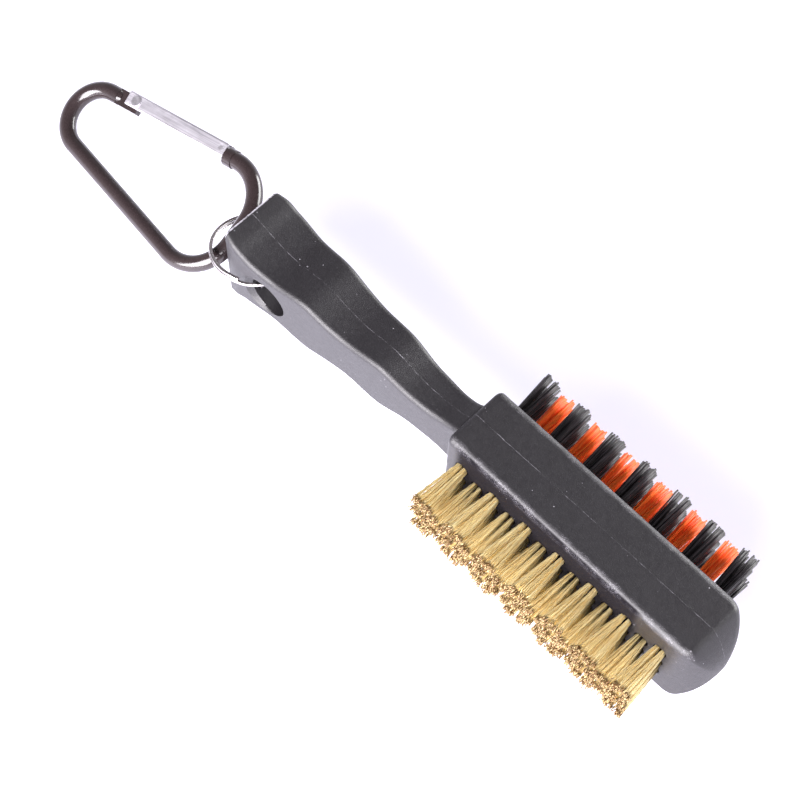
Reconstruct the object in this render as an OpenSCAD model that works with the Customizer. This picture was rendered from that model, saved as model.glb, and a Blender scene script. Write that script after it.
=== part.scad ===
// Club groove brush: a two-sided golf brush with brass tufts on one face and
// nylon tufts on the other, a split ring and a small key carabiner.
// The brush lies on one side of its head.  +X runs along the brush from the
// ring to the nose, +Y points to the nylon side and +Z is up.  The origin is
// the centre of the flat side of the head that it rests on.

/* [Brush] */
// Length of the brush body from the ring end to the nose
brush_len = 160; // [150:1:175]
// Length of the handle, from the ring end to the head
handle_len = 78; // [74:1:84]
// Width of the head across the two bristle faces
head_w = 18.8; // [17:0.1:22]
// Thickness of the head, from side face to side face
head_h = 30.6; // [28:0.1:34]
// Edge rounding of the head
head_edge_r = 2; // [1:0.1:3]
// How far the side profile of the nose bulges out
nose_bulge = 5.7; // [4:0.1:7]

/* [Handle grip] */
// Edge rounding of the handle
handle_edge_r = 1.5; // [0.8:0.1:2]
// Half width of the handle at its end
end_half_w = 9; // [8:0.1:9.4]
// Half width where the handle flares behind its end
flare_half_w = 9.9; // [9:0.1:10.4]
// Half width of the neck, next to the head
neck_half_w = 5; // [4:0.1:7]
// Height of the end of the handle above and below the centre line
end_half_h = 14.5; // [13:0.1:15]
// Height of the rear finger bulge above the centre line
rear_bulge_h = 12.3; // [11.5:0.1:14]
// Height of the front finger bulge above the centre line
front_bulge_h = 10.8; // [10:0.1:12]
// How much lower the rear bulge is below the centre line
underside_drop = 1.8; // [0:0.1:3]

/* [Ring hole] */
// Diameter of the cross hole for the ring
ring_hole_d = 11.8; // [11.6:0.1:12.2]
// Distance of the hole's centre from the end of the handle
ring_hole_x = 15; // [14:0.5:17]

/* [Tufts] */
// Diameter of a tuft hole
tuft_hole_d = 3.8; // [3:0.1:4.2]
// Depth of a tuft hole
tuft_hole_depth = 5.5; // [4:0.1:6]
// Distance between the tufts of one row
tuft_pitch = 10.65; // [10:0.05:11]
// Distance between the rows
row_pitch = 3; // [2.6:0.1:3.4]
// Number of tufts in the long rows
tufts_long_row = 7; // [5:1:7]
// Number of rows on each face
row_count = 5; // [5]
// Distance of the first tuft from the neck end of the head
first_tuft = 5.6; // [4:0.1:7]
// Free length of the brass tufts
brass_len = 14.5; // [12:0.1:16]
// Free length of the nylon tufts
nylon_len = 13.4; // [12:0.1:16]
// Diameter of each half of a tuft at its tip
tuft_tip_d = 2.4; // [1.8:0.1:2.8]
// Distance between the tips of a tuft's two halves, centre to centre
tuft_split = 2.9; // [2.6:0.1:3.4]
// How far the outer rows lean outward
tuft_lean = 5; // [0:0.5:6]
// Length of the anchor plate across a tuft hole
anchor_len = 5.2; // [4.4:0.1:5.4]

/* [Split ring] */
// Mean radius of the ring
ring_r = 12.8; // [12:0.1:13]
// Radial width of the ring's flat wire
ring_wire_w = 1.1; // [0.8:0.1:1.2]
// Height of one turn of the wire
ring_turn_h = 0.9; // [0.6:0.1:1]
// How far the ring hangs below level at rest
ring_drop = 9; // [0:1:15]
// Roll of the ring in its hole at rest
ring_roll = 15.9; // [10:0.1:17]

/* [Carabiner] */
// Diameter of the carabiner's rod
rod_d = 4.6; // [4:0.1:5]
// Bend radius of the narrow end
narrow_r = 8.8; // [8.5:0.1:10]
// Bend radius of the wide end
wide_r = 11.7; // [11:0.1:12.5]
// How far the rod's centre line lies inside the gate's
rod_inset = 0.9; // [0:0.1:1.2]
// Length of the gate
gate_len = 35; // [34:0.1:36]
// Width of the gate across its flat flanks
gate_w = 4; // [3.8:0.1:4.2]
// Depth of the gate from its back to its open side
gate_depth = 4; // [3.8:0.1:4.2]
// Wall of the gate's channel
gate_wall = 0.7; // [0.5:0.05:0.8]
// Diameter of the gate's pivot rivet
rivet_d = 1.6; // [1.2:0.1:1.8]
// Diameter of the latch pin
latch_pin_d = 1.2; // [1:0.1:1.3]

/* [Hidden] */

$fn = 48;
eps = 0.01;

// Head
head_len = brush_len - nose_bulge - handle_len;
head_half_w = head_w / 2;
head_half_h = head_h / 2;
head_mid_x = handle_len + head_len / 2;
nose_plan_r = head_half_w + 0.1;
nose_side_r = (head_half_h * head_half_h + nose_bulge * nose_bulge) / (2 * nose_bulge);
ring_hole_z = 0.3;

// Handle stations: [place along the handle, half width, height above the
// centre line, depth below it]
underside_h = rear_bulge_h - underside_drop;
grip = [
    [0, end_half_w, end_half_h, end_half_h - 0.2],
    [4.5, flare_half_w, end_half_h - 1.1, end_half_h - 2.9],
    [8, flare_half_w, end_half_h - 2.6, end_half_h - 4.55],
    [16.5, flare_half_w - 0.7, rear_bulge_h - 1.75, underside_h - 1.5],
    [27, flare_half_w - 1.45, rear_bulge_h, underside_h],
    [35, flare_half_w - 2, rear_bulge_h - 2, underside_h - 1.85],
    [41, flare_half_w - 2.5, rear_bulge_h - 2.7, underside_h - 2.6],
    [51.5, flare_half_w - 3.25, front_bulge_h, front_bulge_h - 1.2],
    [60.5, neck_half_w + 0.95, front_bulge_h - 2.4, front_bulge_h - 3.8],
    [67, neck_half_w + 0.5, front_bulge_h - 2.65, front_bulge_h - 4.1],
    [73, neck_half_w, front_bulge_h - 1.65, front_bulge_h - 3.1],
    [handle_len - 1, neck_half_w + 0.2, front_bulge_h + 0.2, front_bulge_h - 2.3],
    [handle_len + 2, neck_half_w + 2, front_bulge_h + 2.8, front_bulge_h + 0.1]];

// Tufts
tuft_root_r = tuft_hole_d / 2 - 0.05;
tuft_x0 = handle_len + first_tuft;
anchor_t = 0.4;
anchor_h = 1.8;
anchor_gap = 0.05;

// Carabiner outline, in its own plane: x runs along the gate from the pivot
// end, y points out of the loop and z is the plane's normal.
rod_r = rod_d / 2;
narrow_c = [-7.2, -rod_inset - narrow_r];
gate_corner_c = [37.5, -rod_inset - wide_r];
spine_corner_c = [36.8, -rod_inset - wide_r - 6.5];
rivet_x = 2.3;
latch_x = gate_len - 2.6;
tongue_t = gate_w - 2 * gate_wall - 0.5;
gate_back_y = gate_depth / 2 - gate_wall;
heel_x = rivet_x + 0.9;
plunger_y = -1.05;
plunger_r = 0.9;
spring_x0 = 7;
spring_x1 = 15;

// ---------- placing ----------

// From the brush's own centre line to the shared frame.
module on_brush() {
    translate([-head_mid_x, 0, head_half_h])
        children();
}

// The ring's plane, with its centre at the origin of the children.
module on_ring() {
    on_brush()
        translate([ring_hole_x, 0, ring_hole_z])
            rotate([0, -ring_drop, 0])
                rotate([-ring_roll, 0, 0])
                    translate([-ring_r + 0.4, 0, 0])
                        children();
}

// The carabiner's plane, with the pivot end of the gate at the origin.
module on_carabiner() {
    on_brush()
        translate([-55.16, 7.92, -3.97])
            rotate([22.4, -11.9, 7.4])
                children();
}

// ---------- brush body ----------

// Value of column k of the grip table at place x, as a smooth curve through
// the stations.
function segment_at(x, i = 0) =
    i >= len(grip) - 2 || x < grip[i + 1][0] ? i : segment_at(x, i + 1);
function slope_at(i, k) =
    let (a = grip[max(i - 1, 0)], b = grip[min(i + 1, len(grip) - 1)])
    i == 0 || i == len(grip) - 1 ? (b[k] - a[k]) / (b[0] - a[0])
    : (grip[i][k] - a[k]) * (b[k] - grip[i][k]) <= 0 ? 0
    : (b[k] - a[k]) / (b[0] - a[0]);
function grip_at(x, k) =
    let (i = segment_at(x), p = grip[i], q = grip[i + 1], w = q[0] - p[0], t = (x - p[0]) / w)
    (2 * t * t * t - 3 * t * t + 1) * p[k]
    + (t * t * t - 2 * t * t + t) * w * slope_at(i, k)
    + (3 * t * t - 2 * t * t * t) * q[k]
    + (t * t * t - t * t) * w * slope_at(i + 1, k);

// One cross section of the handle: four rounded corners, drawn in by `inset`.
arc_steps = 6;
function corner(cy, cz, r, a0) =
    [for (s = [0:arc_steps]) [cy + r * cos(a0 + 90 * s / arc_steps), cz + r * sin(a0 + 90 * s / arc_steps)]];
function section(x, inset) =
    let (w = grip_at(x, 1) - inset, t = grip_at(x, 2) - inset, b = grip_at(x, 3) - inset,
        r = handle_edge_r - inset / 2)
    concat(corner(w - r, t - r, r, 0), corner(-w + r, t - r, r, 90),
        corner(-w + r, -b + r, r, 180), corner(w - r, -b + r, r, 270));

module handle() {
    end_r = 0.9;
    steps = 52;
    inner_x = [for (s = [1:steps]) end_r + s * (handle_len + 2 - end_r) / steps];
    xs = concat([0, 0.12, 0.45, end_r], inner_x);
    insets = [for (x = xs) x < end_r ? end_r - sqrt(end_r * end_r - pow(end_r - x, 2)) : 0];
    n = 4 * (arc_steps + 1);
    pts = [for (i = [0:len(xs) - 1]) for (p = section(xs[i], insets[i])) [xs[i], p[0], p[1]]];
    sides = [for (i = [0:len(xs) - 2]) for (j = [0:n - 1])
        let (a = i * n + j, b = i * n + (j + 1) % n) [a, a + n, b + n, b]];
    first_cap = [for (j = [0:n - 1]) j];
    last_cap = [for (j = [n - 1:-1:0]) (len(xs) - 1) * n + j];
    polyhedron(points = pts, faces = concat([first_cap], sides, [last_cap]), convexity = 6);
}

module rounded_box_2d(w, h, r) {
    square([w - 2 * r, h], center = true);
    square([w, h - 2 * r], center = true);
    for (sx = [-1, 1], sy = [-1, 1])
        translate([sx * (w / 2 - r), sy * (h / 2 - r)])
            circle(r);
}

// Outline with two rounded corners at the neck end and a round nose.
module nose_outline(half, straight, bulge, r) {
    translate([0, -half + 1.5])
        square([straight, 2 * half - 3]);
    translate([1.5, -half])
        square([straight - 1.5, 2 * half]);
    for (s = [-1, 1])
        translate([1.5, s * (half - 1.5)])
            circle(1.5);
    intersection() {
        translate([straight - eps, -half])
            square([bulge + 1, 2 * half]);
        translate([straight + bulge - r, 0])
            circle(r, $fn = 96);
    }
}

module head_block() {
    plan_straight = brush_len - handle_len - nose_plan_r;
    translate([handle_len, 0, 0])
        intersection() {
            rotate([90, 0, 90])
                linear_extrude(brush_len)
                    rounded_box_2d(head_w, head_h, head_edge_r);
            translate([0, 0, -head_half_h - 1])
                linear_extrude(head_h + 2)
                    nose_outline(head_half_w, plan_straight, nose_plan_r, nose_plan_r);
            rotate([90, 0, 0])
                translate([0, 0, -head_half_w - 1])
                    linear_extrude(head_w + 2)
                        nose_outline(head_half_h, head_len, nose_bulge, nose_side_r);
        }
}

module brush_body() {
    color([0.29, 0.28, 0.30])
        on_brush()
            difference() {
                union() {
                    handle();
                    head_block();
                }
                translate([ring_hole_x, 0, ring_hole_z]) {
                    rotate([90, 0, 0])
                        cylinder(h = 60, d = ring_hole_d, center = true);
                    // flared mouths, so the ring clears the edges
                    for (turn = [-90, 90])
                        rotate([turn, 0, 0])
                            translate([0, 0, 6.5])
                                cylinder(h = 6.5, d1 = ring_hole_d - 0.1, d2 = ring_hole_d + 7.7);
                }
                for (side = [-1, 1], row = [1:row_count])
                    on_row(side, row) {
                        translate([0, 0, -tuft_hole_depth])
                            cylinder(h = tuft_hole_depth + 1, d = tuft_hole_d);
                        anchor_plate(anchor_gap);
                    }
            }
}

// ---------- tufts and anchors ----------

// Puts the children at every tuft of a row, with +Z out of the bristle face.
// side is -1 for the brass face and 1 for the nylon face.
module on_row(side, row) {
    long_row = row % 2 == 1;
    count = long_row ? tufts_long_row : tufts_long_row - 1;
    x0 = tuft_x0 + (long_row ? 0 : tuft_pitch / 2);
    z = ((row_count + 1) / 2 - row) * row_pitch;
    for (i = [0:count - 1])
        translate([x0 + i * tuft_pitch, side * head_half_w, z])
            rotate([-side * 90, 0, 0])
                children();
}

module anchor_plate(gap) {
    translate([-anchor_t / 2 - gap, -anchor_len / 2 - gap, -tuft_hole_depth])
        cube([anchor_t + 2 * gap, anchor_len + 2 * gap, anchor_h + gap]);
}

// A tuft: the root in its hole, folded over the anchor plate, and the two
// halves that stand out of the hole and lean apart.
module tuft(side, row, free_len) {
    half_root_r = 0.85;
    half_root_x = 0.93;
    spread = atan2(tuft_split / 2 - half_root_x, free_len);
    lean = -side * ((row_count + 1) / 2 - row) / 2 * tuft_lean;
    difference() {
        union() {
            translate([0, 0, -tuft_hole_depth])
                cylinder(h = tuft_hole_depth, r = tuft_root_r);
            for (s = [-1, 1])
                translate([s * half_root_x, 0, 0])
                    rotate([-lean, s * spread, 0])
                        translate([0, 0, -0.3])
                            cylinder(h = free_len + 0.3, r1 = half_root_r, r2 = tuft_tip_d / 2);
        }
        anchor_plate(0.02);
    }
}

module brass_row(row) {
    color([0.80, 0.67, 0.36])
        on_brush()
            on_row(-1, row)
                tuft(-1, row, brass_len);
}

module nylon_row(row) {
    on_brush()
        on_row(1, row)
            tuft(1, row, nylon_len);
}

module brass_tufts_row_1() { brass_row(1); }
module brass_tufts_row_2() { brass_row(2); }
module brass_tufts_row_3() { brass_row(3); }
module brass_tufts_row_4() { brass_row(4); }
module brass_tufts_row_5() { brass_row(5); }
module black_tufts_row_1() { color([0.16, 0.15, 0.16]) nylon_row(1); }
module orange_tufts_row_2() { color([0.92, 0.40, 0.15]) nylon_row(2); }
module black_tufts_row_3() { color([0.16, 0.15, 0.16]) nylon_row(3); }
module orange_tufts_row_4() { color([0.92, 0.40, 0.15]) nylon_row(4); }
module black_tufts_row_5() { color([0.16, 0.15, 0.16]) nylon_row(5); }

module side_anchors(side) {
    on_brush()
        for (row = [1:row_count])
            on_row(side, row)
                anchor_plate(0);
}

module brass_side_anchors() {
    color([0.78, 0.68, 0.42])
        side_anchors(-1);
}

module nylon_side_anchors() {
    color([0.78, 0.68, 0.42])
        side_anchors(1);
}

// ---------- split ring ----------

// One turn of flat wire with a gap centred on angle `gap_at`.
module ring_turn(gap_at) {
    rotate([0, 0, gap_at + 6])
        rotate_extrude(angle = 348, $fn = 128)
            translate([ring_r, 0])
                rounded_box_2d(ring_wire_w, ring_turn_h + 0.02, 0.3);
}

module split_ring() {
    color([0.78, 0.76, 0.75])
        on_ring() {
            translate([0, 0, ring_turn_h / 2])
                ring_turn(-62);
            translate([0, 0, -ring_turn_h / 2])
                ring_turn(-30);
        }
}

// ---------- carabiner ----------

// Straight stretch of rod between two points of the plane.  It is a hair
// thinner than the bends and runs a little way into them at both ends.
module rod(a, b) {
    d = b - a;
    lap = 0.3;
    translate([a[0], a[1], 0])
        rotate([0, 90, atan2(d[1], d[0])])
            translate([0, 0, -lap])
                cylinder(h = norm(d) + 2 * lap, r = rod_r - 0.02);
}

// Bend of the rod about c, from angle a0 through `sweep` degrees.
module bend(c, r, a0, sweep) {
    translate([c[0], c[1], 0])
        rotate([0, 0, a0])
            rotate_extrude(angle = sweep, $fn = 96)
                translate([r, 0])
                    circle(rod_r);
}

// Angle of the radius at which the outer tangent of two circles touches both,
// going clockwise round the loop from circle a to circle b.
function tangent_angle(ca, ra, cb, rb) =
    let (d = cb - ca) atan2(d[1], d[0]) + acos((ra - rb) / norm(d));
function on_circle(c, r, a) = c + r * [cos(a), sin(a)];

spine_a = tangent_angle(spine_corner_c, wide_r, narrow_c, narrow_r);
side_a = tangent_angle(gate_corner_c, wide_r, spine_corner_c, wide_r);

module carabiner_body() {
    shoulder_x = -4.2;
    nose_x = gate_len - 0.6;
    color([0.13, 0.11, 0.11])
        on_carabiner() {
            // pivot end of the rod, bends, spine and wide end
            rod([narrow_c[0], -rod_inset], [shoulder_x - 0.3, -rod_inset]);
            bend(narrow_c, narrow_r, 90, spine_a - 90);
            rod(on_circle(narrow_c, narrow_r, spine_a), on_circle(spine_corner_c, wide_r, spine_a));
            bend(spine_corner_c, wide_r, spine_a, side_a + 360 - spine_a);
            rod(on_circle(spine_corner_c, wide_r, side_a), on_circle(gate_corner_c, wide_r, side_a));
            bend(gate_corner_c, wide_r, side_a, 90 - side_a);
            rod([gate_corner_c[0], -rod_inset], [nose_x + 0.8, -rod_inset]);
            pivot_tongue(shoulder_x);
            nose_hook(nose_x);
        }
}

// Shoulder where the rod is pressed flat, and the tongue that fills the pivot
// end of the gate's channel.  The tongue's end is round about the rivet, so the
// gate's back can turn past it, and a lip runs on below the gate.
module pivot_tongue(x0) {
    end_r = gate_back_y - 0.25;
    low_y = -rod_inset - rod_r + 0.1;
    wide_x = -1.7;
    translate([x0, -rod_inset, 0])
        rotate([0, 90, 0])
            translate([0, 0, -0.3])
                cylinder(h = 1.3, r1 = rod_r - 0.05, r2 = tongue_t / 2 + 0.3);
    difference() {
        translate([0, 0, -tongue_t / 2])
            linear_extrude(tongue_t)
                union() {
                    translate([x0 - 0.4, low_y])
                        square([wide_x - x0 + 0.4, 2 * rod_r - 0.2]);
                    translate([wide_x - 0.2, -1.7])
                        square([rivet_x - wide_x + 0.2, 1.7 + end_r]);
                    translate([rivet_x, 0])
                        circle(end_r);
                    translate([wide_x - 0.2, low_y])
                        square([heel_x - wide_x + 0.2, -low_y - 1]);
                }
        translate([rivet_x, 0, 0])
            cylinder(h = 10, d = rivet_d + 0.02, center = true);
    }
}

// Collar and hook of the nose.  The slot is open to the inside of the loop,
// so the latch pin drops into it as the gate closes.
module nose_hook(x0) {
    hook_t = tongue_t - 0.2;
    slot_r = latch_pin_d / 2 + 0.2;
    translate([x0, -rod_inset, 0])
        rotate([0, 90, 0])
            cylinder(h = 2.7, r = rod_r + 0.25);
    translate([0, 0, -hook_t / 2])
        linear_extrude(hook_t)
            difference() {
                translate([latch_x - 1.7, -0.9])
                    square([x0 - latch_x + 2, 2.1]);
                translate([latch_x, -0.1])
                    circle(slot_r);
                translate([latch_x - slot_r, -2.1])
                    square([2 * slot_r, 2]);
            }
}

module gate_pivot_rivet() {
    head_r = 1.4;
    color([0.80, 0.78, 0.77])
        on_carabiner()
            translate([rivet_x, 0, 0]) {
                cylinder(h = gate_w + 0.2, d = rivet_d, center = true);
                for (s = [0, 180])
                    rotate([s, 0, 0])
                        translate([0, 0, gate_w / 2 + 0.03])
                            cylinder(h = 0.35, r = head_r);
            }
}

// Folded channel, open to the inside of the loop.
module carabiner_gate() {
    end_gap = 0.9;
    color([0.80, 0.77, 0.79])
        on_carabiner()
            difference() {
                translate([-end_gap, 0, 0])
                    rotate([90, 0, 90])
                        linear_extrude(gate_len)
                            rounded_box_2d(gate_depth, gate_w, 0.5);
                // inside of the channel
                translate([-2, -gate_depth, -gate_w / 2 + gate_wall])
                    cube([spring_x1 + 2, gate_depth + gate_back_y, gate_w - 2 * gate_wall]);
                translate([spring_x1 + 1, -gate_depth, -gate_w / 2 + gate_wall])
                    cube([gate_len, gate_depth + gate_back_y, gate_w - 2 * gate_wall]);
                // the back is cut away over the nose hook and behind the pivot
                translate([latch_x - 2.4, -gate_depth, -gate_w / 2 + gate_wall])
                    cube([gate_len, 2 * gate_depth, gate_w - 2 * gate_wall]);
                translate([-2, -gate_depth, -gate_w / 2 + gate_wall])
                    cube([2 + 0.6, 2 * gate_depth, gate_w - 2 * gate_wall]);
                translate([rivet_x, 0, 0])
                    cylinder(h = 10, d = rivet_d + 0.1, center = true);
                translate([latch_x, 0, 0])
                    cylinder(h = 10, d = latch_pin_d + 0.02, center = true);
            }
}

module gate_latch_pin() {
    color([0.78, 0.76, 0.75])
        on_carabiner()
            translate([latch_x, 0, 0])
                cylinder(h = gate_w, d = latch_pin_d, center = true);
}

// Round-nosed pusher between the spring and the tongue.
module gate_plunger() {
    nose_x = heel_x + 0.2;
    color([0.72, 0.70, 0.69])
        on_carabiner()
            translate([nose_x, plunger_y, 0])
                rotate([0, 90, 0]) {
                    translate([0, 0, plunger_r * 0.5])
                        cylinder(h = spring_x0 - nose_x - plunger_r * 0.5, r = plunger_r);
                    cylinder(h = plunger_r * 0.5 + eps, r1 = plunger_r * 0.6, r2 = plunger_r);
                }
}

// Compression spring as a swept coil, made of rings of points.
module gate_spring() {
    wire_r = 0.17;
    coil_r = plunger_r - wire_r - 0.05;
    turns = 8;
    steps = 12 * turns;
    sides = 6;
    length = spring_x1 - spring_x0 - 2 * wire_r;
    pts = [for (s = [0:steps]) for (k = [0:sides - 1])
        let (a = 360 * turns * s / steps, b = 360 * k / sides,
            r = coil_r + wire_r * cos(b),
            x = wire_r + length * s / steps + wire_r * sin(b))
        [x, r * cos(a), r * sin(a)]];
    walls = [for (s = [0:steps - 1]) for (k = [0:sides - 1])
        let (a = s * sides + k, b = s * sides + (k + 1) % sides)
        [a, b, b + sides, a + sides]];
    first_cap = [for (k = [sides - 1:-1:0]) k];
    last_cap = [for (k = [0:sides - 1]) steps * sides + k];
    color([0.70, 0.70, 0.72])
        on_carabiner()
            translate([spring_x0, plunger_y, 0])
                polyhedron(points = pts, faces = concat([first_cap], walls, [last_cap]), convexity = 10);
}

brush_body();
brass_tufts_row_1();
brass_tufts_row_2();
brass_tufts_row_3();
brass_tufts_row_4();
brass_tufts_row_5();
black_tufts_row_1();
orange_tufts_row_2();
black_tufts_row_3();
orange_tufts_row_4();
black_tufts_row_5();
brass_side_anchors();
nylon_side_anchors();
split_ring();
carabiner_body();
gate_pivot_rivet();
carabiner_gate();
gate_latch_pin();
gate_plunger();
gate_spring();
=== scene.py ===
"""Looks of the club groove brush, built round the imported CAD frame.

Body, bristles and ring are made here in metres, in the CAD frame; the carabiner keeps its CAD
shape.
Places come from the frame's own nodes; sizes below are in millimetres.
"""

import math
import random

import bmesh
import bpy
from mathutils import Matrix, Vector


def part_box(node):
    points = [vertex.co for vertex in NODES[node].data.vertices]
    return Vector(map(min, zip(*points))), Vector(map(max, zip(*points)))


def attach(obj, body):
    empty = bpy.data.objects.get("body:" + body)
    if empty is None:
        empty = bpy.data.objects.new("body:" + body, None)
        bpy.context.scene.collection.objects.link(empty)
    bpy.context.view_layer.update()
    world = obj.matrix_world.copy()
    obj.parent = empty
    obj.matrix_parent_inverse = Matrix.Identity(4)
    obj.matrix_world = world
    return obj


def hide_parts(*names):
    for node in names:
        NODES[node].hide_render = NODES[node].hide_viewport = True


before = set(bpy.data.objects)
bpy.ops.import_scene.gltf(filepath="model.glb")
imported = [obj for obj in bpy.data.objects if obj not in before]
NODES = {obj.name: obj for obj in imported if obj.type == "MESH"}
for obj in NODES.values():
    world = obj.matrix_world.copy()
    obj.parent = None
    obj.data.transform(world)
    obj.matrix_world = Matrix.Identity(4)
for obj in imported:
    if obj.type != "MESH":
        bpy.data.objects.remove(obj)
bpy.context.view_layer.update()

MM = 0.001
BRASS_ROWS = ["brass_tufts_row_%d" % i for i in range(1, 6)]
NYLON_ROWS = ["black_tufts_row_1", "orange_tufts_row_2", "black_tufts_row_3",
              "orange_tufts_row_4", "black_tufts_row_5"]

# The brush's own axes in the frame: x from the ring end, y and z about its middle.
BODY_LO, BODY_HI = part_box("brush_body")
ORIGIN = Vector((BODY_LO.x, (BODY_LO.y + BODY_HI.y) / 2, (BODY_LO.z + BODY_HI.z) / 2))
END_X, MID_Z = ORIGIN.x / MM, ORIGIN.z / MM
BRUSH_LEN = (BODY_HI.x - BODY_LO.x) / MM
HEAD_HALF_H = (BODY_HI.z - BODY_LO.z) / 2 / MM
HEAD_HALF_W = 9.4
HEAD_X = 78.0
NOSE_BULGE = 5.7
HEAD_EDGE_R = 2.0
NECK_R = 1.3
RING_HOLE = (15.0, 0.3, 11.8)  # place along the brush, height, diameter
TUFT_HOLE_D = 3.8
TUFT_HOLE_DEPTH = 5.5

# Where the finishes change, in frame millimetres.
RUBBED_X = (END_X + HEAD_X + 1, END_X + BRUSH_LEN - 3)  # worn edges of the head
RUBBED_EDGE_Y = HEAD_HALF_W - 1.0
END_WEAR_AND_HIGHLIGHT_Z = (MID_Z + 13.3, MID_Z + 16)  # worn end of the handle's top, with a painted highlight along its edge
DULL_X = (END_X + HEAD_X + 5.5, END_X + HEAD_X + 60)  # between the brass tufts
DULL_BELOW_Y = 0.35 - HEAD_HALF_W
ROOTS_SHADED_BELOW = MID_Z + 4.6
BRASS_BROWNED_FROM = 22.7  # distance of the wires' cut ends from the middle


def brush(x, y, z):
    """A point given in millimetres in the brush's own axes."""
    return ORIGIN + Vector((x, y, z)) * MM


# ---------- meshes ----------

def link(obj):
    bpy.context.scene.collection.objects.link(obj)
    return obj


def make_object(name, verts, faces, material, body=None, slot=None):
    """A smooth mesh object; with a body it rides on that CAD body."""
    mesh = bpy.data.meshes.new(name)
    mesh.from_pydata([tuple(v) for v in verts], [], faces)
    mesh.materials.append(material)
    mesh.polygons.foreach_set("use_smooth", [True] * len(mesh.polygons))
    mesh.update()
    obj = link(bpy.data.objects.new(name, mesh))
    if body:
        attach(obj, body)
    return obj


def stitch(base, rings, sides, faces):
    """Walls between successive rings of points, which start at base, and a cap on each end."""
    for i in range(rings - 1):
        for k in range(sides):
            a, b = base + i * sides + k, base + i * sides + (k + 1) % sides
            faces.append((a, b, b + sides, a + sides))
    faces.append(tuple(base + k for k in reversed(range(sides))))
    faces.append(tuple(base + (rings - 1) * sides + k for k in range(sides)))


def sweep(path, outline, verts, faces, up=None):
    """Sweeps a closed outline of (across, up) points along a path of Vectors."""
    base, last = len(verts), len(path) - 1
    normal = None
    for i, p in enumerate(path):
        t = (path[min(i + 1, last)] - path[max(i - 1, 0)]).normalized()
        guess = up if up is not None else (normal or t.orthogonal())
        normal = (guess - t * guess.dot(t)).normalized()
        side = t.cross(normal)
        # taken in reverse, so that the faces point outwards
        verts.extend(p + (side * a + normal * b) for a, b in reversed(outline))
    stitch(base, len(path), len(outline), faces)


def circle(r, sides, phase=0.0):
    """Points of a regular outline round (0, 0)."""
    angles = [2 * math.pi * k / sides + phase for k in range(sides)]
    return [(r * math.cos(a), r * math.sin(a)) for a in angles]


def quarter_turn(steps, first=0):
    """Angles over a quarter turn in equal steps, in radians."""
    return [math.radians(90 * s / steps) for s in range(first, steps + 1)]


def smoothstep(a, b, x):
    t = min(max((x - a) / (b - a), 0.0), 1.0)
    return t * t * (3 - 2 * t)


def soft_min(a, b, k):
    """The lower of two numbers, rounded over a range of about k."""
    h = max(k - abs(a - b), 0.0) / k
    return min(a, b) - h * h * k / 4


def cut_out(obj, cutters):
    """Cuts the closed cutter meshes out of obj, for good."""
    for c in cutters:
        mod = obj.modifiers.new("cut", "BOOLEAN")
        mod.operation = "DIFFERENCE"
        mod.solver = "EXACT"
        mod.object = c
    bpy.context.view_layer.update()
    deps = bpy.context.evaluated_depsgraph_get()
    mesh = bpy.data.meshes.new_from_object(obj.evaluated_get(deps))
    obj.modifiers.clear()
    obj.data = mesh
    for c in cutters:
        bpy.data.objects.remove(c)


def crisp(obj, angle, keep_flat=True):
    """Smooth shading that stays sharp over edges above the angle in degrees.

    With keep_flat, flat faces keep their own normals next to rounded ones.
    """
    obj.data.polygons.foreach_set("use_smooth", [True] * len(obj.data.polygons))
    obj.data.set_sharp_from_angle(angle=math.radians(angle))
    if keep_flat:
        mod = obj.modifiers.new("flat faces stay flat", "WEIGHTED_NORMAL")
        mod.keep_sharp = True


# ---------- materials ----------

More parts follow.
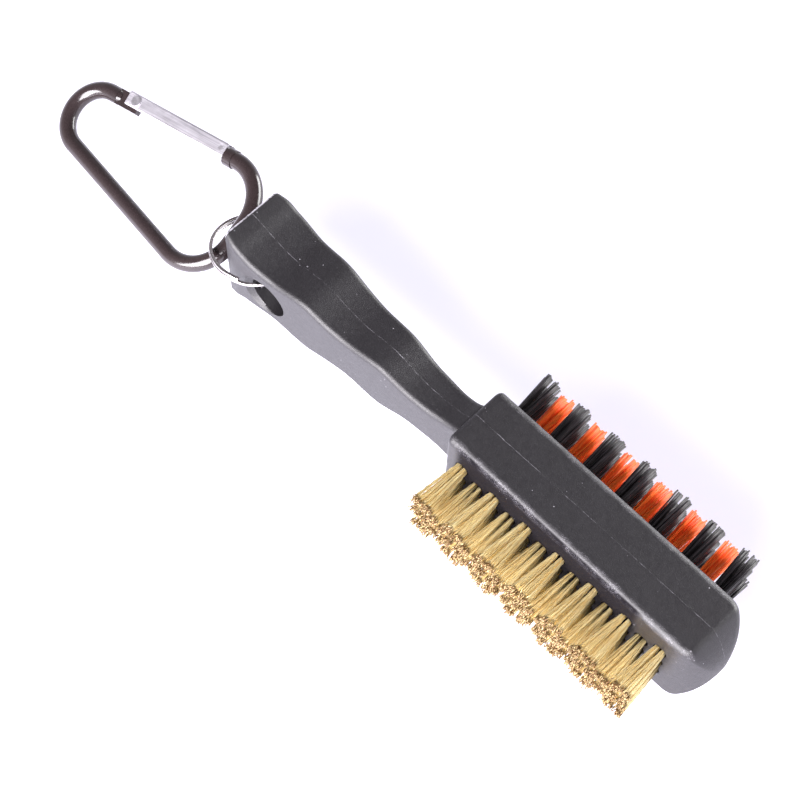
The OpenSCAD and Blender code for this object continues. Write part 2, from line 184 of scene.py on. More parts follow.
class Paint:
    """A node material with short calls for the nodes used here."""

    def __init__(self, name, **sockets):
        self.mat = bpy.data.materials.new(name)
        self.mat.use_nodes = True
        self.tree = self.mat.node_tree
        self.shader = self.tree.nodes["Principled BSDF"]
        for key, value in sockets.items():
            self.shader.inputs[key.replace("_", " ")].default_value = value
        self.coord = self.tree.nodes.new("ShaderNodeTexCoord").outputs["Object"]

    def node(self, kind, **links):
        n = self.tree.nodes.new(kind)
        for key, value in links.items():
            self.put(value, n.inputs[key])
        return n

    def put(self, value, socket):
        if isinstance(value, bpy.types.NodeSocket):
            self.tree.links.new(value, socket)
        else:
            socket.default_value = value

    def math(self, op, a, b=0.0, clamp=False):
        n = self.tree.nodes.new("ShaderNodeMath")
        n.operation = op
        n.use_clamp = clamp
        self.put(a, n.inputs[0])
        self.put(b, n.inputs[1])
        return n.outputs[0]

    def scaled(self, factors, vector=None):
        """The coordinate times one factor per axis."""
        n = self.tree.nodes.new("ShaderNodeVectorMath")
        n.operation = "MULTIPLY"
        self.put(vector or self.coord, n.inputs[0])
        n.inputs[1].default_value = factors
        return n.outputs[0]

    def along(self, axes, factors):
        """Coordinates measured along three given directions, times a factor each."""
        joined = self.tree.nodes.new("ShaderNodeCombineXYZ")
        for k, axis in enumerate(axes):
            dot = self.tree.nodes.new("ShaderNodeVectorMath")
            dot.operation = "DOT_PRODUCT"
            self.put(self.coord, dot.inputs[0])
            dot.inputs[1].default_value = axis
            self.put(self.math("MULTIPLY", dot.outputs["Value"], factors[k]), joined.inputs[k])
        return joined.outputs[0]

    def noise(self, vector, scale=1.0, detail=3.0, rough=0.5):
        n = self.tree.nodes.new("ShaderNodeTexNoise")
        self.put(vector, n.inputs["Vector"])
        n.inputs["Scale"].default_value = scale
        n.inputs["Detail"].default_value = detail
        n.inputs["Roughness"].default_value = rough
        return n.outputs["Fac"]

    def spots(self, vector, scale=1.0):
        n = self.tree.nodes.new("ShaderNodeTexVoronoi")
        self.put(vector, n.inputs["Vector"])
        n.inputs["Scale"].default_value = scale
        return n.outputs["Distance"]

    def window(self, value, lo, hi, soft):
        """1 between lo and hi, 0 outside, with soft edges."""
        up = self.node("ShaderNodeMapRange", Value=value)
        up.interpolation_type = "SMOOTHSTEP"
        up.inputs["From Min"].default_value = lo - soft
        up.inputs["From Max"].default_value = lo
        down = self.node("ShaderNodeMapRange", Value=value)
        down.interpolation_type = "SMOOTHSTEP"
        down.inputs["From Min"].default_value = hi
        down.inputs["From Max"].default_value = hi + soft
        down.inputs["To Min"].default_value = 1.0
        down.inputs["To Max"].default_value = 0.0
        return self.math("MULTIPLY", up.outputs[0], down.outputs[0])

    def step(self, value, lo, hi, to_lo=0.0, to_hi=1.0):
        n = self.node("ShaderNodeMapRange", Value=value)
        n.inputs["From Min"].default_value = lo
        n.inputs["From Max"].default_value = hi
        n.inputs["To Min"].default_value = to_lo
        n.inputs["To Max"].default_value = to_hi
        return n.outputs[0]

    def mix(self, fac, a, b):
        n = self.tree.nodes.new("ShaderNodeMix")
        n.data_type = "RGBA"
        self.put(fac, n.inputs["Factor"])
        self.put(a if not isinstance(a, tuple) else (*a, 1.0), n.inputs[6])
        self.put(b if not isinstance(b, tuple) else (*b, 1.0), n.inputs[7])
        return n.outputs[2]

    def bump(self, height, strength, distance, under=None):
        n = self.tree.nodes.new("ShaderNodeBump")
        n.inputs["Strength"].default_value = strength
        n.inputs["Distance"].default_value = distance
        self.put(height, n.inputs["Height"])
        if under is not None:
            self.put(under, n.inputs["Normal"])
        return n.outputs[0]

    def finish(self, color=None, rough=None, normal=None):
        for value, key in ((color, "Base Color"), (rough, "Roughness"), (normal, "Normal")):
            if value is not None:
                self.put(value, self.shader.inputs[key])
        return self.mat


# ---------- finishes ----------

def charcoal_plastic():
    """Moulded plastic with a fine satin grain, scuffed along its edges and parting line, with a
    painted highlight along the worn top edge of the ring end.
    """
    p = Paint("charcoal plastic", IOR=1.68)
    mm = p.scaled((1000, 1000, 1000))
    grain = p.noise(mm, 2.4, 5.0, 0.7)
    fine = p.noise(mm, 5.0, 3.0, 0.6)
    cloud = p.noise(mm, 0.12, 3.0)
    x, y, z = p.node("ShaderNodeSeparateXYZ", Vector=mm).outputs
    base = p.mix(p.step(cloud, 0.35, 0.65), (0.0030, 0.0021, 0.0034), (0.0046, 0.0036, 0.0052))
    base = p.mix(p.step(grain, 0.35, 0.7, 0.0, 0.5), base, (0.010, 0.0085, 0.012))
    base = p.mix(p.math("MULTIPLY", p.step(fine, 0.62, 0.74), 0.5), base, (0.09, 0.082, 0.095))
    # parting line along both side faces: a faint, broken scratch that wanders a little
    wander = p.math("MULTIPLY", p.math("ADD", p.noise(mm, 0.45, 3.0), -0.5), 0.32)
    broken = p.noise(p.scaled((330, 900, 900)), 1.0, 5.0, 0.7)
    line = p.math("MULTIPLY", p.window(p.math("ADD", y, wander), -0.03, 0.03, 0.07),
                  p.step(broken, 0.46, 0.68))
    # rubbed band where the sides meet the bristle faces, a salt of pale specks
    near_edge = p.math("ABSOLUTE", p.math("ADD", p.math("ABSOLUTE", y), -RUBBED_EDGE_Y))
    from_middle = p.math("ABSOLUTE", p.math("ADD", z, -MID_Z))
    rub = p.window(near_edge, -1.0, 0.6, 0.6)
    rub = p.math("MULTIPLY", rub, p.window(x, *RUBBED_X, 1.0))
    rub = p.math("MULTIPLY", rub, p.window(from_middle, HEAD_HALF_H - 2.2, 20, 0.5))
    rub = p.math("MULTIPLY", rub, p.step(p.noise(mm, 5.5, 4.0, 0.7), 0.52, 0.62))
    rub = p.math("MULTIPLY", rub, p.step(p.noise(mm, 0.35, 2.0), 0.38, 0.62))
    # pale line round the ring end of the handle, where the top face ends: partly wear, partly a
    # painted highlight along the rounded edge
    end = p.math("MULTIPLY", p.window(p.math("ADD", x, -END_X), -0.2, 0.42, 0.35),
                 p.window(z, *END_WEAR_AND_HIGHLIGHT_Z, 0.4))
    end = p.math("MULTIPLY", end, p.step(p.noise(mm, 1.6, 4.0, 0.7), 0.36, 0.52))
    # scattered pale specks, in patches
    specks = p.step(p.spots(mm, 0.42), 0.075, 0.04)
    specks = p.math("MULTIPLY", specks, p.step(p.noise(mm, 0.2, 1.0), 0.5, 0.6))
    pale = p.math("MAXIMUM", p.math("MULTIPLY", line, 0.34), p.math("MULTIPLY", rub, 0.34))
    # the ring end's pale line is partly wear and partly painted highlight
    pale = p.math("MAXIMUM", pale, p.math("MULTIPLY", end, 0.85))
    pale = p.math("MAXIMUM", pale, p.math("MULTIPLY", specks, 0.5), clamp=True)
    color = p.mix(pale, base, (0.62, 0.60, 0.66))
    rough = p.step(p.noise(mm, 0.8, 3.0), 0.3, 0.7, 0.47, 0.53)
    # the face that the brass stands in is duller between the tufts, to stand in for deep shade
    dull = p.math("MULTIPLY", p.window(x, *DULL_X, 3.0), p.window(y, -20, DULL_BELOW_Y, 0.5))
    rough = p.math("ADD", rough, p.math("MULTIPLY", dull, 0.35))
    p.put(p.step(dull, 0.0, 1.0, 0.5, 0.08), p.shader.inputs["Specular IOR Level"])
    normal = p.bump(fine, 0.7, 0.00006, p.bump(grain, 0.8, 0.00008))
    return p.finish(color, rough, normal)


def brass_wire():
    """Drawn brass wire, each with its own tone; the cut ends are browned."""
    p = Paint("brass wire", Metallic=0.55)
    mm = p.scaled((1000, 1000, 1000))
    tone = p.noise(p.scaled((2600, 140, 2600)), 1.0, 2.0)
    base = p.mix(p.step(tone, 0.35, 0.65), (0.85, 0.65, 0.28), (1.0, 0.88, 0.50))
    _, y, z = p.node("ShaderNodeSeparateXYZ", Vector=mm).outputs
    outward = p.math("MULTIPLY", y, -1.0)
    wobble = p.math("MULTIPLY", p.noise(mm, 0.9, 2.0), 1.6)
    tip = p.step(p.math("ADD", outward, wobble), BRASS_BROWNED_FROM, BRASS_BROWNED_FROM + 0.9)
    tip = p.math("MULTIPLY", tip, p.step(p.noise(mm, 2.4, 2.0), 0.25, 0.6, 0.45, 1.0))
    color = p.mix(tip, base, (0.095, 0.034, 0.005))
    # the lower rows are darker at their roots, to stand in for the deep shade between rows
    root = p.step(outward, HEAD_HALF_W + 5.5, HEAD_HALF_W + 0.5)
    lower = p.step(z, ROOTS_SHADED_BELOW, ROOTS_SHADED_BELOW - 1.2)
    shade = p.math("MULTIPLY", p.math("MULTIPLY", root, lower), 0.85)
    color = p.mix(shade, color, (0.075, 0.050, 0.018))
    rough = p.step(tone, 0.3, 0.7, 0.30, 0.45)
    return p.finish(color, rough, p.bump(tone, 0.2, 0.00004))


def nylon(name, dark, light, rough_lo, rough_hi):
    """Extruded filament with fine lengthwise tone changes."""
    p = Paint(name, IOR=1.53)
    tone = p.noise(p.scaled((2400, 110, 2400)), 1.0, 3.0)
    color = p.mix(p.step(tone, 0.35, 0.65), dark, light)
    rough = p.step(tone, 0.3, 0.7, rough_lo, rough_hi)
    return p.finish(color, rough, p.bump(tone, 0.2, 0.00004))


def metal(name, dark, light, rough_lo, rough_hi,
          grain=2.0, strength=0.12, metallic=1.0, **more):
    """Polished, plated or anodised metal with faint marks."""
    p = Paint(name, Metallic=metallic, **more)
    mm = p.scaled((1000, 1000, 1000))
    marks = p.noise(mm, grain, 5.0, 0.65)
    color = p.mix(p.step(marks, 0.35, 0.65), dark, light)
    rough = p.step(marks, 0.3, 0.7, rough_lo, rough_hi)
    return p.finish(color, rough, p.bump(marks, strength, 0.00003))


def drawn_metal(name, axes, dark, light):
    """Aluminium with lengthwise drawing lines along the first axis."""
    p = Paint(name, Metallic=1.0)
    lines = p.noise(p.along(axes, (45.0, 5200.0, 5200.0)), 1.0, 4.0, 0.6)
    cloud = p.noise(p.scaled((1000, 1000, 1000)), 0.5, 2.0)
    color = p.mix(p.step(lines, 0.32, 0.68), dark, light)
    rough = p.math("ADD", p.step(lines, 0.3, 0.7, 0.34, 0.48), p.step(cloud, 0.3, 0.7, 0.0, 0.08))
    return p.finish(color, rough, p.bump(lines, 0.5, 0.00005))


PLASTIC = charcoal_plastic()
BRASS = brass_wire()
BLACK_NYLON = nylon("black nylon", (0.010, 0.008, 0.009), (0.032, 0.026, 0.029), 0.30, 0.42)
ORANGE_NYLON = nylon("orange nylon", (0.95, 0.090, 0.006), (1.0, 0.19, 0.015), 0.38, 0.50)
NICKEL = metal("nickel plate", (0.46, 0.43, 0.43), (0.64, 0.61, 0.60), 0.18, 0.30)
ANCHOR = metal("anchor strip", (0.55, 0.42, 0.18), (0.75, 0.62, 0.32), 0.3, 0.45)
ANODISED = metal("black anodised", (0.022, 0.015, 0.0155), (0.027, 0.019, 0.0195), 0.14, 0.20,
                 grain=1.2, strength=0.04, metallic=0.0, IOR=1.6)
RIVET = metal("rivet aluminium", (0.66, 0.64, 0.67), (0.84, 0.82, 0.86), 0.30, 0.42)
STEEL = metal("spring steel", (0.45, 0.44, 0.44), (0.62, 0.61, 0.60), 0.25, 0.4)


# ---------- body ----------

GRIP = (  # place along the handle, half width, height above and depth below the middle
    (0, 9.0, 14.5, 14.3), (4.5, 9.9, 13.4, 11.6), (8, 9.9, 11.9, 9.95), (16.5, 9.2, 10.55, 9.0),
    (27, 8.45, 12.3, 10.5), (35, 7.9, 10.3, 8.65), (41, 7.4, 9.6, 7.9), (51.5, 6.65, 10.8, 9.6),
    (60.5, 5.95, 8.4, 7.0), (67, 5.5, 8.15, 6.7), (73, 5.0, 9.15, 7.7), (77, 5.2, 11.0, 8.5),
    (80, 7.0, 13.6, 10.9))


def grip_at(x, k):
    """Column k of the grip table at place x, on a smooth curve without overshoot."""
    i = max(j for j in range(len(GRIP) - 1) if j == 0 or GRIP[j][0] <= x)

    def slope(j):
        a, b = GRIP[max(j - 1, 0)], GRIP[min(j + 1, len(GRIP) - 1)]
        if 0 < j < len(GRIP) - 1 and (GRIP[j][k] - a[k]) * (b[k] - GRIP[j][k]) <= 0:
            return 0.0
        return (b[k] - a[k]) / (b[0] - a[0])

    p, q = GRIP[i], GRIP[i + 1]
    w = q[0] - p[0]
    t = (x - p[0]) / w
    return ((2 * t ** 3 - 3 * t * t + 1) * p[k] + (t ** 3 - 2 * t * t + t) * w * slope(i)
            + (3 * t * t - 2 * t ** 3) * q[k] + (t ** 3 - t * t) * w * slope(i + 1))


def body_section(x, w, top, low, r, flash):
    """One ring of the body: a rounded box, with a small moulding flash at y = 0 above and below."""
    arc_steps, half_face_steps, side_steps = 7, 4, 11
    pts = []

    def corner(cy, cz, a0):
        for s in range(arc_steps + 1):
            a = math.radians(a0 + 90 * s / arc_steps)
            pts.append((cy + r * math.cos(a), cz + r * math.sin(a)))

    def edge(a, b, n):
        for s in range(1, n):
            pts.append((a[0] + (b[0] - a[0]) * s / n, a[1] + (b[1] - a[1]) * s / n))

    def face_with_flash(y0, y1, z, out):
        """A flat face from y0 to y1 with the flash ridge in its middle."""
        h = min(0.11, abs(y0) / 5)
        steps = half_face_steps
        sign = 1 if y1 > y0 else -1
        foot = sign * 2 * h
        for s in range(1, steps + 1):
            pts.append((y0 + (-foot - y0) * s / steps, z))
        pts.append((-sign * h * 0.7, z + out * flash * 0.8))
        pts.append((0.0, z + out * flash))
        pts.append((sign * h * 0.7, z + out * flash * 0.8))
        for s in range(steps):
            pts.append((foot + (y1 - foot) * s / steps, z))

    corner(w - r, top - r, 0)
    face_with_flash(w - r, -w + r, top, 1)
    corner(-w + r, top - r, 90)
    edge((-w, top - r), (-w, -low + r), side_steps)
    corner(-w + r, -low + r, 180)
    face_with_flash(-w + r, w - r, -low, -1)
    corner(w - r, -low + r, 270)
    edge((w, -low + r), (w, top - r), side_steps)
    return [brush(x, y, z) for y, z in pts]


def body_stations():
    """(x, half width, height, depth, corner radius, flash) from the ring end to the nose."""
    end_r, grip_r, rim_r = 0.9, 1.5, 1.4
    round_steps, handle_steps, wall_steps, head_steps, nose_steps = 6, 84, 4, 40, 44
    out = []
    # rounded ring end, then the wavy handle
    for a in quarter_turn(round_steps):
        x, inset = end_r * (1 - math.cos(a)), end_r * (1 - math.sin(a))
        out.append((x, *(grip_at(x, k) - inset for k in (1, 2, 3)), grip_r - inset / 2, 0.0))
    neck_x = HEAD_X - NECK_R
    for s in range(1, handle_steps + 1):
        x = end_r + (neck_x - end_r) * s / handle_steps
        out.append((x, *(grip_at(x, k) for k in (1, 2, 3)), grip_r, 0.04))
    # fillet up to the flat end of the head, then the head's rounded rim
    neck = [grip_at(neck_x, k) for k in (1, 2, 3)]
    for a in quarter_turn(round_steps, 1):
        grow = NECK_R * (1 - math.cos(a))
        out.append((neck_x + NECK_R * math.sin(a), *(v + grow for v in neck), grip_r + grow, 0.05))
    start = [v + NECK_R for v in neck]
    goal = [HEAD_HALF_W - rim_r, HEAD_HALF_H - rim_r, HEAD_HALF_H - rim_r]
    for s in range(1, wall_steps + 1):
        t = s / wall_steps
        size = [a + (b - a) * t for a, b in zip(start, goal)]
        out.append((HEAD_X, *size, grip_r + NECK_R - 1.6 * t, 0.0))
    for a in quarter_turn(round_steps, 1):
        inset = rim_r * (1 - math.sin(a))
        out.append((HEAD_X + rim_r * (1 - math.cos(a)), HEAD_HALF_W - inset, HEAD_HALF_H - inset,
                    HEAD_HALF_H - inset, HEAD_EDGE_R - inset * 0.5, 0.03))
    # head and nose: the plan is a half round, the side outline a flatter arc
    plan_r = HEAD_HALF_W + 0.1
    side_r = (HEAD_HALF_H ** 2 + NOSE_BULGE ** 2) / (2 * NOSE_BULGE)
    nose_from = BRUSH_LEN - plan_r
    head_from = HEAD_X + rim_r
    xs = [head_from + (nose_from - head_from) * s / head_steps for s in range(1, head_steps + 1)]
    xs += [nose_from + plan_r * math.sin(a) for a in quarter_turn(nose_steps, 1)[:-1]]
    xs += [BRUSH_LEN - 0.004]
    tiny = 1e-6
    for x in xs:
        w = math.sqrt(max(plan_r ** 2 - max(x - nose_from, 0) ** 2, tiny))
        w = soft_min(HEAD_HALF_W, w, 0.2)
        h = math.sqrt(max(side_r ** 2 - max(x - BRUSH_LEN + side_r, 0) ** 2, tiny))
        h = soft_min(HEAD_HALF_H, h, 0.9)
        r = min(HEAD_EDGE_R, 0.75 * min(w, h))
        out.append((x, w, h, h, r, 0.04 * smoothstep(0.5, 6, min(w, h))))
    return out


def body_mesh():
    """The moulding before its holes are cut."""
    rings = [body_section(*s) for s in body_stations()]
    faces = []
    stitch(0, len(rings), len(rings[0]), faces)
    return [point for ring in rings for point in ring], faces


def lathe(axis_from, axis_dir, profile, sides):
    """Closed solid of revolution: profile is (distance along, radius) in millimetres."""
    verts, faces = [], []
    u = axis_dir.orthogonal().normalized()
    v = axis_dir.cross(u)
    for along, r in profile:
        centre = axis_from + axis_dir * (along * MM)
        for k in range(sides):
            a = 2 * math.pi * k / sides
            verts.append(centre + (u * math.cos(a) + v * math.sin(a)) * (r * MM))
    stitch(0, len(profile), sides, faces)
    return verts, faces


def ring_hole_cutter():
    """The cross hole, flared a little where it comes out of each face."""
    x, z, d = RING_HOLE
    r, y = d / 2, grip_at(x, 1)
    mouth = [(y - 0.8, r), (y - 0.3, r + 0.25), (y + 0.02, r + 0.65), (14, r + 5)]
    profile = [(-along, radius) for along, radius in reversed(mouth)] + mouth
    verts, faces = lathe(brush(x, 0, z), Vector((0, 1, 0)), profile, 72)
    # the flares sit a little towards the ring end
    shift = Vector((-0.45 * MM, 0, 0))
    return [v + shift if abs(v.y - ORIGIN.y) > (y - 0.5) * MM else v for v in verts], faces


def islands(node):
    """The separate solids of a CAD node, as lists of points, from the ring end to the nose."""
    bm = bmesh.new()
    bm.from_mesh(NODES[node].data)
    bmesh.ops.remove_doubles(bm, verts=bm.verts, dist=1e-6)
    seen, found = set(), []
    for v in bm.verts:
        if v in seen:
            continue
        seen.add(v)
        stack, group = [v], []
        while stack:
            w = stack.pop()
            group.append(w.co.copy())
            for e in w.link_edges:
                o = e.other_vert(w)
                if o not in seen:
                    seen.add(o)
                    stack.append(o)
        found.append(group)
    bm.free()
    return sorted(found, key=lambda g: sum(p.x for p in g) / len(g))


def box_middle(points):
    return Vector([(min(p[k] for p in points) + max(p[k] for p in points)) / 2 for k in range(3)])


def tufts(node):
    """(middle of the hole's mouth, middle of the tip, side) of every tuft of a CAD row."""
    root_slice, tip_slice = 0.05 * MM, 0.6 * MM
    lo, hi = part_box(node)
    side = 1 if lo.y + hi.y > 2 * ORIGIN.y else -1
    out = []
    for pts in islands(node):
        far = max(side * p.y for p in pts)
        near = min(side * p.y for p in pts)
        mouth = box_middle([p for p in pts if side * p.y < near + root_slice])
        tip = box_middle([p for p in pts if side * p.y > far - tip_slice])
        mouth.y = ORIGIN.y + side * HEAD_HALF_W * MM
        out.append((mouth, tip, side))
    return out


def tuft_hole_cutter(node):
    """The holes of one row, each with a tapered floor and a broken edge."""
    verts, faces = [], []
    r = TUFT_HOLE_D / 2
    profile = [(-TUFT_HOLE_DEPTH, r * 0.7), (-TUFT_HOLE_DEPTH + 0.6, r), (-0.25, r),
               (0.02, r + 0.2), (0.6, r + 0.6)]
    for mouth, _, side in tufts(node):
        v, f = lathe(mouth, Vector((0, side, 0)), profile, 28)
        base = len(verts)
        verts += v
        faces += [tuple(base + i for i in face) for face in f]
    return verts, faces


def make_body():
    """The moulded body with its ring hole and tuft holes."""
    body = make_object("brush_body_moulded", *body_mesh(), PLASTIC)
    cutters = [make_object("cut_ring_hole", *ring_hole_cutter(), PLASTIC)]
    for node in BRASS_ROWS + NYLON_ROWS:
        cutters.append(make_object("cut_" + node, *tuft_hole_cutter(node), PLASTIC))
    cut_out(body, cutters)
    crisp(body, 32)
    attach(body, "brush")
    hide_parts("brush_body")


make_body()


# ---------- bristles ----------

rng = random.Random(11)
FULL_TURN = 6.28  # radians, near enough for waves and random phases
WIRE_SUNK = 0.9  # how far the filaments start below the mouth of their hole


def bundle(mouth, tip, spec, verts, faces):
    """One tuft: filaments in two lobes, as from a fold round the anchor, spreading to the tips."""
    axis = tip - mouth
    length = axis.length / MM
    d = axis.normalized()
    ex = Vector((1, 0, 0))
    ex = (ex - d * ex.dot(d)).normalized()
    ez = d.cross(ex)
    for lobe in (-1, 1):
        turn = rng.uniform(-0.12, 0.12)
        swell = rng.uniform(0.92, 1.08)
        sway = rng.uniform(-0.25, 0.25)
        for _ in range(spec["count"]):
            a, r = rng.uniform(0, 2 * math.pi), math.sqrt(rng.random())
            u, v = r * math.cos(a), r * math.sin(a)
            x0 = lobe * spec["root_gap"] + u * spec["root_x"]
            z0 = v * spec["root_z"]
            x1 = lobe * spec["tip_gap"] * swell + u * spec["tip_x"] * swell + sway + turn * v
            z1 = v * spec["tip_z"] * swell
            x1 += rng.gauss(0, spec["stray"])
            z1 += rng.gauss(0, spec["stray"])
            reach = length + rng.gauss(0, spec["ragged"]) - spec["dome"] * r * r
            phase, phase2 = rng.uniform(0, FULL_TURN), rng.uniform(0, FULL_TURN)
            wave = spec["wave"] * rng.uniform(0.5, 1.3)
            hook_a, hook = rng.uniform(0, FULL_TURN), spec["hook"] * rng.random()
            path = []
            for s in range(spec["steps"] + 1):
                t = s / spec["steps"]
                w = t ** spec["bow"]
                ripple = FULL_TURN * reach * t / spec["wave_len"]
                late = smoothstep(0.88, 1.0, t) * hook
                across = x0 + (x1 - x0) * w + wave * math.sin(phase + ripple)
                across += late * math.cos(hook_a)
                up = z0 + (z1 - z0) * w + wave * math.cos(phase2 + ripple)
                up += late * math.sin(hook_a)
                along = reach * t - WIRE_SUNK * (1 - t)
                path.append(mouth + (d * along + ex * across + ez * up) * MM)
            thick = spec["r"] * MM * rng.uniform(0.9, 1.1)
            sweep(path, circle(thick, spec["sides"], rng.random()), verts, faces)


# For each of a tuft's two lobes: how many filaments, then millimetres. Gaps are from the
# tuft's middle to the lobe's, x and z are a lobe's half sizes, stray and ragged are spreads
# of the tips sideways and lengthwise, and dome is how much shorter the outer filaments are.
BRASS_SPEC = dict(count=40, root_gap=0.85, root_x=0.55, root_z=1.45,
                  tip_gap=1.6, tip_x=1.45, tip_z=1.75, stray=0.2, ragged=0.35, dome=0.3,
                  wave=0.06, wave_len=2.3, hook=0.9, bow=0.8, r=0.155, steps=14, sides=5)
NYLON_SPEC = dict(count=24, root_gap=0.75, root_x=0.8, root_z=1.45,
                  tip_gap=1.2, tip_x=1.1, tip_z=2.2, stray=0.07, ragged=0.26, dome=0.1,
                  wave=0.0, wave_len=6.0, hook=0.0, bow=1.0, r=0.235, steps=3, sides=7)


def make_row(node, spec, material, slot):
    """All the filaments of one CAD row, in its place."""
    verts, faces = [], []
    for mouth, tip, _ in tufts(node):
        bundle(mouth, tip, spec, verts, faces)
    obj = make_object(node + "_bristles", verts, faces, material, "brush", slot)
    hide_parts(node)


for node in BRASS_ROWS:
    make_row(node, BRASS_SPEC, BRASS, "brass_wire")
for node in NYLON_ROWS:
    dark = node.startswith("black")
    make_row(node, NYLON_SPEC, BLACK_NYLON if dark else ORANGE_NYLON,
             "black_nylon" if dark else "orange_nylon")


# ---------- ring and carabiner ----------

def rotation(angles):
    """Rotation about X, then Y, then Z, in degrees."""
    about_x, about_y, about_z = (Matrix.Rotation(math.radians(angle), 3, axis)
                                 for angle, axis in zip(angles, "XYZ"))
    return about_z @ about_y @ about_x


GATE_AXES = [rotation((22.4, -11.9, 7.4)).col[k].normalized() for k in range(3)]
ALUMINIUM = drawn_metal("drawn aluminium", GATE_AXES, (0.58, 0.56, 0.60), (0.86, 0.84, 0.89))

RING_ANGLES = (-15.9, -9, 0)
RING_R = 12.8
RING_WIRE = (1.0, 0.80)  # radial width and height of one turn
RING_WIRE_EDGE_R = 0.26
RING_OFF_MIDDLE = 0.4  # from the hole's middle to the wire's centre line, along the brush


def make_ring():
    """Nearly two turns of one flat wire, which steps up from the lower turn to the upper."""
    rot = rotation(RING_ANGLES)
    middle = brush(RING_HOLE[0], 0.0, RING_HOLE[1])
    first, last, step_from, step_to = -24, 652, 296, 331  # degrees along the wire
    lift = RING_WIRE[1] / 2 + 0.08
    path = []
    for deg in range(first, last + 1, 2):
        a = math.radians(deg)
        z = lift * (2 * smoothstep(step_from, step_to, deg) - 1)
        p = Vector((RING_R * math.cos(a) - RING_R + RING_OFF_MIDDLE, RING_R * math.sin(a), z))
        path.append(middle + rot @ p * MM)
    w, h, r = RING_WIRE[0] / 2, RING_WIRE[1] / 2, RING_WIRE_EDGE_R
    outline = []
    for cx, cy, a0 in ((w - r, h - r, 0), (r - w, h - r, 90),
                       (r - w, r - h, 180), (w - r, r - h, 270)):
        for k in range(4):
            a = math.radians(a0 + 30 * k)
            outline.append(((cx + r * math.cos(a)) * MM, (cy + r * math.sin(a)) * MM))
    verts, faces = [], []
    sweep(path, outline, verts, faces, up=rot.col[2])
    ring = make_object("split_ring_wire", verts, faces, NICKEL, "ring", "ring_steel")
    crisp(ring, 50, keep_flat=False)
    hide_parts("split_ring")


make_ring()

# CAD nodes that are shown as they are: material, and width of their soft edges.
LOOKS = {"carabiner_body": (ANODISED, 0), "gate_pivot_rivet": (RIVET, 0.15),
         "carabiner_gate": (ALUMINIUM, 0.3), "gate_latch_pin": (RIVET, 0),
         "gate_plunger": (STEEL, 0), "gate_spring": (STEEL, 0),
         "brass_side_anchors": (ANCHOR, 0), "nylon_side_anchors": (ANCHOR, 0)}


def dress(node, material, bevel):
    """Gives a CAD node its material and, where bevel isn't 0, soft edges."""
    obj = NODES[node]
    obj.data.materials.clear()
    obj.data.materials.append(material)
    for poly in obj.data.polygons:
        poly.material_index = 0
    if bevel:
        mod = obj.modifiers.new("soft edges", "BEVEL")
        mod.width = bevel * MM
        mod.segments = 2
        mod.limit_method = "ANGLE"
        mod.angle_limit = math.radians(40)


for name, look in LOOKS.items():
    dress(name, *look)


# ---------- floor, light and camera ----------

def make_floor():
    """A pale lit floor that glows a little, and glows brighter in a patch beside the handle: a
    painted pool of light for the handle's side face.
    """
    half, base_glow, handle_glow = 3.0, 0.75, 2.0
    corners = ((-half, -half), (half, -half), (half, half), (-half, half))
    p = Paint("pale floor", Roughness=0.6, Emission_Color=(0.885, 0.87, 1.0, 1))
    x, y, _ = p.node("ShaderNodeSeparateXYZ", Vector=p.coord).outputs
    # painted pool of light: the floor glows brighter beside the handle to light the handle's side
    # face
    light_pool_beside_handle = p.math("MULTIPLY", p.window(x, -0.14, 0.01, 0.06),
                           p.window(y, -0.10, -0.004, 0.03))
    p.put(p.step(light_pool_beside_handle, 0.0, 1.0, base_glow, handle_glow),
          p.shader.inputs["Emission Strength"])
    mark = p.noise(p.scaled((4, 4, 4)), 1.0, 2.0)
    p.finish(p.mix(p.step(mark, 0.3, 0.7), (0.345, 0.335, 0.37), (0.365, 0.355, 0.39)))
    floor = make_object("floor", [Vector((x, y, 0)) for x, y in corners], [(0, 1, 2, 3)], p.mat)


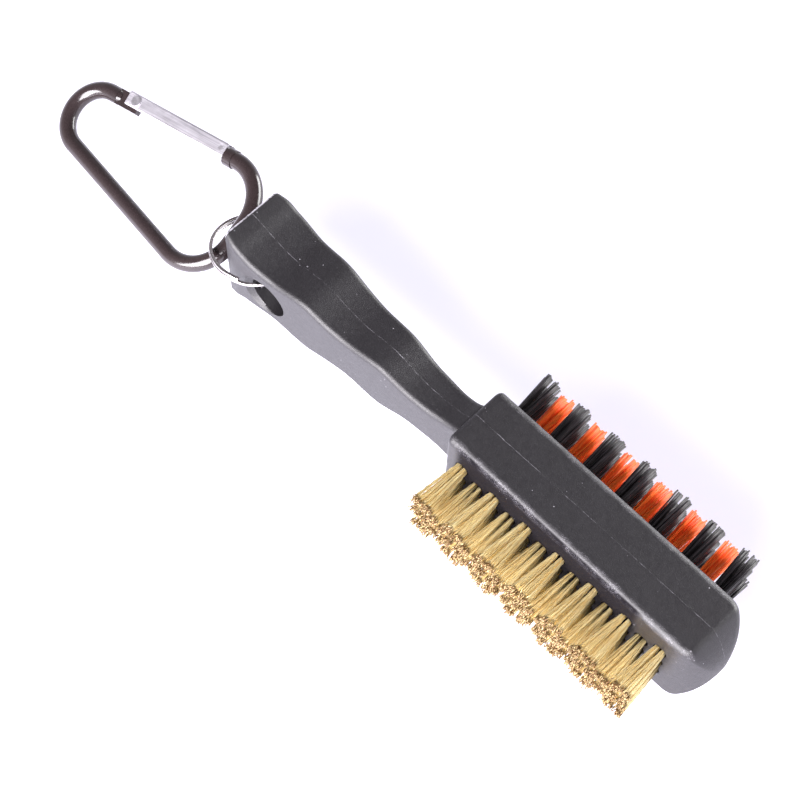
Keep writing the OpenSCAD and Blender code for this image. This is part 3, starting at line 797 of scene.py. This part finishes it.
def area_light(name, away, size, power, color):
    """A rectangular soft box, away from the middle of the brush and turned towards it."""
    target = brush(60, 0, 0)
    at = target + Vector(away)
    data = bpy.data.lights.new(name, "AREA")
    data.shape = "RECTANGLE"
    data.size, data.size_y = size
    data.energy = power
    data.color = color
    lamp = link(bpy.data.objects.new(name, data))
    lamp.location = at
    lamp.rotation_euler = (target - at).to_track_quat("-Z", "Y").to_euler()


def make_light():
    """A pale tent that is darker overhead, and a soft box on each bristle side."""
    tent_low, tent_high = 0.85, 0.15
    world = bpy.data.worlds.new("studio")
    world.use_nodes = True
    tree = world.node_tree
    coord = tree.nodes.new("ShaderNodeTexCoord")
    split = tree.nodes.new("ShaderNodeSeparateXYZ")
    height = tree.nodes.new("ShaderNodeMapRange")
    height.inputs["From Min"].default_value = 0.0
    height.inputs["From Max"].default_value = 0.70
    height.inputs["To Min"].default_value = tent_low
    height.inputs["To Max"].default_value = tent_high
    tree.links.new(coord.outputs["Generated"], split.inputs[0])
    tree.links.new(split.outputs[2], height.inputs["Value"])
    tree.links.new(height.outputs[0], tree.nodes["Background"].inputs["Strength"])
    tree.nodes["Background"].inputs["Color"].default_value = (0.97, 0.93, 1.0, 1)
    bpy.context.scene.world = world
    area_light("key", (0.06, -0.84, 0.43), (1.0, 0.7), 44.0, (0.99, 0.955, 1.0))
    area_light("nylon side", (0.35, 0.90, 0.25), (0.9, 0.5), 18.0, (1.0, 1.0, 1.0))


def make_camera():
    """Looks down at about 65 degrees from the brass side of the nose, as in the photograph."""
    right = Vector((0.70565, 0.70833, 0.01780))
    down = Vector((0.64713, -0.63405, -0.42332))
    forward = Vector((-0.28857, 0.31024, -0.90580))
    data = bpy.data.cameras.new("camera")
    data.sensor_width, data.lens = 36.0, 90.0
    cam = link(bpy.data.objects.new("camera", data))
    rot = Matrix((right, -down, -forward)).transposed()
    cam.matrix_world = Matrix.Translation(brush(200.95, -158.24, 447.48)) @ rot.to_4x4()
    data.clip_start, data.clip_end = 0.01, 20
    bpy.context.scene.camera = cam


make_floor()
make_light()
make_camera()
bpy.context.scene.view_settings.view_transform = "Standard"
